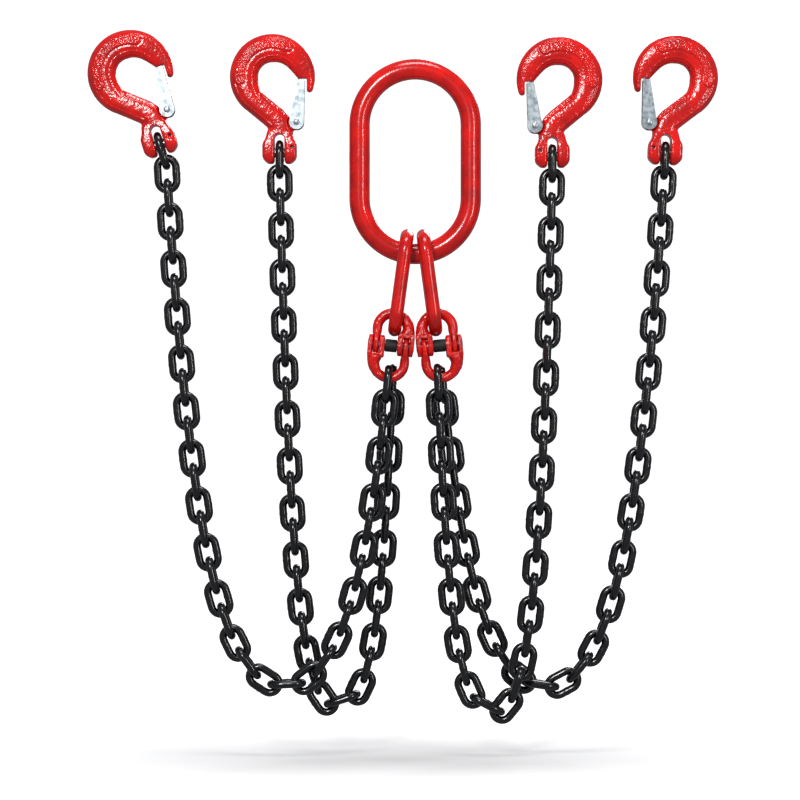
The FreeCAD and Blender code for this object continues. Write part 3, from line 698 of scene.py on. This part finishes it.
def flank_relief(points):
    """Height in mm that the die leaves on both flanks at points of the hook: a bead inside the
    outer edge and one by the inner edge, which die out down the shank and at the tip, and a raised
    panel between them, round the bowl, with a rim, a shallow groove outside it and pebbles."""
    x, z = points[:, 0] - BOWL_X, points[:, 2] - BOWL_Z
    normal = math.radians(SHANK_NORMAL)
    angle = np.degrees(np.arctan2(z, x))
    angle = np.where(angle < -90, angle + 360, angle)
    past_foot = x * math.sin(normal) - z * math.cos(normal)
    on_shank = (past_foot > 0) & (x * math.cos(normal) + z * math.sin(normal) < 0)
    radius = np.where(on_shank, -(x * math.cos(normal) + z * math.sin(normal)), np.hypot(x, z))
    inner = np.where(on_shank, 19.0, bowl_edge(np.clip(angle, -24, 230)))
    fade = np.clip((38 - np.where(on_shank, past_foot, 0)) / 6, 0, 1)
    fade = fade * np.clip((angle + 4) / 10, 0, 1)
    relief = BEAD_HEIGHT * bump(radius - BOWL_OUTER + OUTER_BEAD, BEAD_WIDTH) * fade
    relief += BEAD_HEIGHT * bump(radius - inner - INNER_BEAD, BEAD_WIDTH) * fade * (angle > 20)
    from_end = np.radians(np.minimum(angle - PANEL_FROM, PANEL_TO - angle)) * PANEL_MIDDLE
    from_side = np.minimum(radius - PANEL_INNER, PANEL_OUTER - radius)
    in_corner = (from_end < PANEL_CORNER) & (from_side < PANEL_CORNER)
    edge = np.where(in_corner,
                    PANEL_CORNER - np.hypot(PANEL_CORNER - from_end, PANEL_CORNER - from_side),
                    np.minimum(from_end, from_side))
    edge = np.where(on_shank, -9, edge)
    relief += 0.45 * bump(edge - 0.7, 0.7) - 0.25 * bump(edge + 1.3, 1.0)
    noise = np.random.default_rng(7)
    pebbles = np.zeros(len(points))
    for _ in range(40):
        way = noise.normal(0, 1, 2) * 2 * np.pi / PEBBLE_WIDTH
        phase = noise.uniform(0, 2 * np.pi)
        pebbles += np.cos(way[0] * points[:, 0] + way[1] * points[:, 2] + phase)
    return relief + np.clip(edge / 0.9, 0, 1) * (0.45 + 0.22 * np.tanh(pebbles / 4))


# the lug that the latch turns on stands between the latch's cheeks
latch_lug = (rod(6.0, -CATCH_HALF, CATCH_HALF, PIVOT[0], PIVOT[2]),
             block((5.3, -CATCH_HALF, 22.9), (17.3, CATCH_HALF, 33.9)))
solids = [hook_bar(), ear(-1), ear(1), *latch_lug]
points, quads = forged_skin([grid * MM for grid in solids], VOXEL, 3,
                            [cut * MM for cut in hook_cuts()])
normals = skin_normals(points, quads)
flank = np.clip((np.abs(normals[:, 1]) - 0.35) / 0.3, 0, 1)
from_pivot = np.hypot(points[:, 0] / MM - PIVOT[0], points[:, 2] / MM - PIVOT[2])
away = np.clip((from_pivot - CHEEK_ROOM - 1) / 2, 0, 1)
lift = flank_relief(points / MM) * flank * away * (np.abs(points[:, 1]) > 3.2 * MM)
lift += (hammered(points, 33, 5 * MM) * 0.06 - 0.06) * away
points = points + normals * (lift * MM)[:, None]
for leg in (1, 2, 3, 4):
    x, y, z, turn, mirrored = hook_place(leg)
    placed = place_in_hang(points, x, y, z, turn, mirrored)
    made = add_skin(f"hook_{leg}_forging", placed, quads, mirrored)
    dress(made, f"hook_{leg}", "red_paint", hook_enamel, f"hook_{leg}_body")

# ---------------------------------------------------------------------------
# Clevis pins: a ground pin through both ears holds the chain's last link, and
# a split roll pin across it keeps it from working out.

ROLL_OUTER, ROLL_INNER, ROLL_HALF, ROLL_GAP = 1.5, 0.95, 9, 20
clevis_pin = turned_surface(rounded_ends(15.5 * MM, 4.8 * MM, 0.7 * MM))
# out round the roll pin from one side of its split to the other, and back inside it
sweep = np.linspace(ROLL_GAP, 360 - ROLL_GAP, 22)
a = np.radians(np.concatenate([sweep, sweep[::-1]]))
wall = np.concatenate([np.full(22, ROLL_OUTER), np.full(22, ROLL_INNER)]) * MM
section = np.stack([wall * np.cos(a), wall * np.sin(a)], 1)
along = np.linspace(-ROLL_HALF, ROLL_HALF, 8) * MM
roll = np.stack(np.broadcast_arrays(section[None, :, 0], along[:, None], section[None, :, 1]), -1)
roll = roll + KEEPER * MM
for leg in (1, 2, 3, 4):
    x, y, z, turn, mirrored = hook_place(leg)
    held = add_piece(f"hook_{leg}_pin", [place_in_hang(clevis_pin, x, y, z, turn)],
                     close=(False, True), ends=True)
    dress(held, f"hook_{leg}", "dark_steel", pin_steel, f"hook_{leg}_clevis_pin")
    keeper = add_piece(f"hook_{leg}_keeper", [place_in_hang(roll, x, y, z, turn, mirrored)],
                       close=(False, True))
    dress(keeper, f"hook_{leg}", "dark_steel", pin_steel, f"hook_{leg}_roll_pin")

# ---------------------------------------------------------------------------
# Latches: a zinc plated channel pressed from 1.6 mm sheet, which a riveted pin
# and a torsion spring of 0.9 mm wire hold shut against the hook's tip.

finish, tree, place = start_finish("bright_zinc_plated_sheet")
spangle = add(tree, "ShaderNodeTexNoise", {"Vector": place, "Scale": 1 / (5 * MM), "Detail": 4.0})
drawn = add(tree, "ShaderNodeMapping", {"Vector": place, "Scale": (900.0, 900.0, 90.0)})
lines = add(tree, "ShaderNodeTexNoise", {"Vector": drawn.outputs["Vector"], "Scale": 1.0,
                                         "Detail": 2.0})
tone = add(tree, "ShaderNodeValToRGB", {"Fac": spangle.outputs["Fac"]})
tone.color_ramp.elements[0].position = 0.35
tone.color_ramp.elements[0].color = linear("#7f8a90")
tone.color_ramp.elements[1].position = 0.62
tone.color_ramp.elements[1].color = linear("#b9c4c8")
spread = add(tree, "ShaderNodeMapRange", {"Value": lines.outputs["Fac"], "To Min": 0.26,
                                          "To Max": 0.46})
relief = add(tree, "ShaderNodeBump", {"Height": lines.outputs["Fac"], "Strength": 0.25,
                                      "Distance": 0.05 * MM})
shader = add(tree, "ShaderNodeBsdfPrincipled", {
    "Base Color": tone.outputs["Color"], "Metallic": 0.7, "Roughness": spread.outputs["Result"],
    "Normal": relief.outputs["Normal"]})
add(tree, "ShaderNodeOutputMaterial", {"Surface": shader.outputs["BSDF"]})
zinc_plate = finish

# the spring lies between the hook's lug and the latch's front cheek: wire, coil radius, turns,
# the y where the coil starts, how far it runs, and the ends of its two legs
WIRE, COIL, COIL_TURNS = 0.9, 3.1, 2.5
COIL_START, COIL_RUN = -3.9, -1.64
BACK_LEG, FRONT_LEG = np.array([-4.4, -3.9, 3.6]), np.array([4.2, -5.54, 17])
RIVET_HALF, RIVET_RADIUS, RIVET_HEAD = 8.3, 2.0, 3.1


def wire_surface(path, radius, around=10):
    """A tube round an open path in space: at each point a circle across the path's direction."""
    ahead = np.gradient(path, axis=0)
    ahead /= np.linalg.norm(ahead, axis=1)[:, None]
    side = np.cross(ahead, [0.3, 0.1, 0.95])
    side /= np.linalg.norm(side, axis=1)[:, None]
    other = np.cross(ahead, side)
    b = np.arange(around) * 2 * np.pi / around
    return path[:, None] + radius * (np.cos(b)[:, None] * side[:, None]
                                     + np.sin(b)[:, None] * other[:, None])


t = np.linspace(0, 1, 110)
turns = math.pi + t * 2 * math.pi * COIL_TURNS
helix = np.stack([COIL * np.cos(turns), COIL_START + COIL_RUN * t, COIL * np.sin(turns)], 1)
back = BACK_LEG + np.linspace(0, 1, 8)[:, None] * (helix[0] - BACK_LEG)
front = helix[-1] + np.linspace(0, 1, 16)[:, None] * (FRONT_LEG - helix[-1])
spring_path = (np.vstack([back[:-1], helix, front[1:]]) + PIVOT) * MM
spring = wire_surface(spring_path, WIRE / 2 * MM)
dome = np.linspace(0, np.pi / 2, 6)
head = np.stack([RIVET_HALF + 1.0 * np.sin(dome), 0.1 + RIVET_HEAD * np.cos(dome)], 1)
stem = [[-RIVET_HALF, RIVET_RADIUS], [RIVET_HALF, RIVET_RADIUS]]
profile = np.vstack([head[::-1] * [-1, 1], stem, head]) * MM
rivet = turned_surface(profile)[..., [1, 0, 2]] + PIVOT * MM
for leg in (1, 2, 3, 4):
    x, y, z, turn, mirrored = hook_place(leg)
    node = frame["nodes"][f"hook_{leg}_latch"]
    node.data.materials.clear()
    node.data.materials.append(zinc_plate)
    made = add_piece(f"hook_{leg}_rivet", [place_in_hang(rivet, x, y, z, turn, mirrored)],
                     close=(False, True), ends=True)
    dress(made, f"hook_{leg}", "zinc", zinc_plate, f"hook_{leg}_latch_pin")
    made = add_piece(f"hook_{leg}_spring", [place_in_hang(spring, x, y, z, turn, mirrored)],
                     close=(False, True), ends=True)
    dress(made, f"hook_{leg}", "spring_steel", pin_steel, f"hook_{leg}_latch_spring")

# ---------------------------------------------------------------------------
# Studio: a pale seamless floor that sweeps up behind, softboxes in front, at
# the side, above and behind, and a long lens straight in front.

FLOOR_BELOW, FLOOR_SWEEP, FLOOR_FRONT, FLOOR_BACK, WALL_TOP = 33 * MM, 1.2, -6, 2.0, 5.0
floor_z = cad_box[0].z - FLOOR_BELOW
a = np.linspace(0, math.pi / 2, 24)
sweep_y = np.concatenate([[FLOOR_FRONT, FLOOR_BACK], FLOOR_BACK + FLOOR_SWEEP * np.sin(a)[1:],
                          [FLOOR_BACK + FLOOR_SWEEP]])
sweep_z = np.concatenate([[0, 0], FLOOR_SWEEP * (1 - np.cos(a))[1:], [WALL_TOP]]) + floor_z
sweep_x = np.linspace(-7, 7, 3)
grid = np.stack(np.broadcast_arrays(sweep_x[None, :], sweep_y[:, None], sweep_z[:, None]), -1)
backdrop = add_piece("backdrop", [grid], close=(False, False))
finish, tree, place = start_finish("matt_white_paper")
fibres = add(tree, "ShaderNodeTexNoise", {"Vector": place, "Scale": 1 / (0.4 * MM), "Detail": 2.0})
relief = add(tree, "ShaderNodeBump", {"Height": fibres.outputs["Fac"], "Strength": 0.1,
                                      "Distance": 0.05 * MM})
# a painted shadow of the sling under it: an ellipse, 0.68 m by 0.34 m from the middle out, where
# the paper glows less and its colour is darker
under = add(tree, "ShaderNodeMapping", {"Vector": place, "Location": (0.022, 0.1, 0.0),
                                        "Scale": (1 / 0.68, 1 / 0.34, 0.0)})
shadow = add(tree, "ShaderNodeTexGradient", {"Vector": under.outputs["Vector"]},
             gradient_type="SPHERICAL")
glow = add(tree, "ShaderNodeMapRange", {"Value": shadow.outputs["Fac"], "To Min": 0.84,
                                        "To Max": 0.23})
# the paper's colour, darker inside the same ellipse: painted shadow
white = add(tree, "ShaderNodeMapRange", {"Value": shadow.outputs["Fac"], "To Min": 0.78,
                                         "To Max": 0.47})
shader = add(tree, "ShaderNodeBsdfPrincipled", {
    "Base Color": white.outputs["Result"], "Roughness": 0.95, "Specular IOR Level": 0.1,
    "Normal": relief.outputs["Normal"], "Emission Color": linear("#ffffff"),
    "Emission Strength": glow.outputs["Result"]})
add(tree, "ShaderNodeOutputMaterial", {"Surface": shader.outputs["BSDF"]})
backdrop.data.materials.append(finish)
# the paper is lit for the eye alone: the paint mirrors the dim room and the softboxes
backdrop.visible_glossy = False
backdrop.visible_diffuse = False

world = bpy.data.worlds.new("soft_room")
world.use_nodes = True
world.node_tree.nodes["Background"].inputs["Color"].default_value = linear("#f4f6ff")
world.node_tree.nodes["Background"].inputs["Strength"].default_value = 0.27
bpy.context.scene.world = world
bpy.context.scene.view_settings.view_transform = "Standard"

AIM = np.array([-15.3, 0, -322.6]) * MM
# name, place from the aim in m, width and height in m, power in W
for name, place, size, power in (
        ("key_softbox", (-0.5, -2.3, 1.0), (0.35, 0.6), 31.0),
        ("side_strip", (1.3, -1.7, 0.3), (0.12, 0.9), 9.0),
        ("top_softbox", (0.1, -0.5, 1.7), (0.8, 0.5), 13.0),
        ("back_fill", (0.6, 2.0, 1.2), (0.9, 0.9), 16.0)):
    light = bpy.data.lights.new(name, "AREA")
    light.shape = "RECTANGLE"
    light.size, light.size_y = size
    light.energy = power
    lamp = bpy.data.objects.new(name, light)
    bpy.context.scene.collection.objects.link(lamp)
    lamp.location = AIM + np.array(place)
    lamp.rotation_mode = "QUATERNION"
    lamp.rotation_quaternion = (-Vector(place)).to_track_quat("-Z", "Y")

CAMERA_DISTANCE, FRAME_WIDTH, SENSOR_MM = 3.0, 806 * MM, 36
camera = bpy.data.cameras.new("long_lens")
camera.sensor_width = SENSOR_MM
camera.lens = SENSOR_MM * CAMERA_DISTANCE / FRAME_WIDTH
viewer = bpy.data.objects.new("camera", camera)
bpy.context.scene.collection.objects.link(viewer)
viewer.location = AIM + np.array([0, -CAMERA_DISTANCE, 0])
viewer.rotation_euler = (math.pi / 2, 0, 0)
bpy.context.scene.camera = viewer
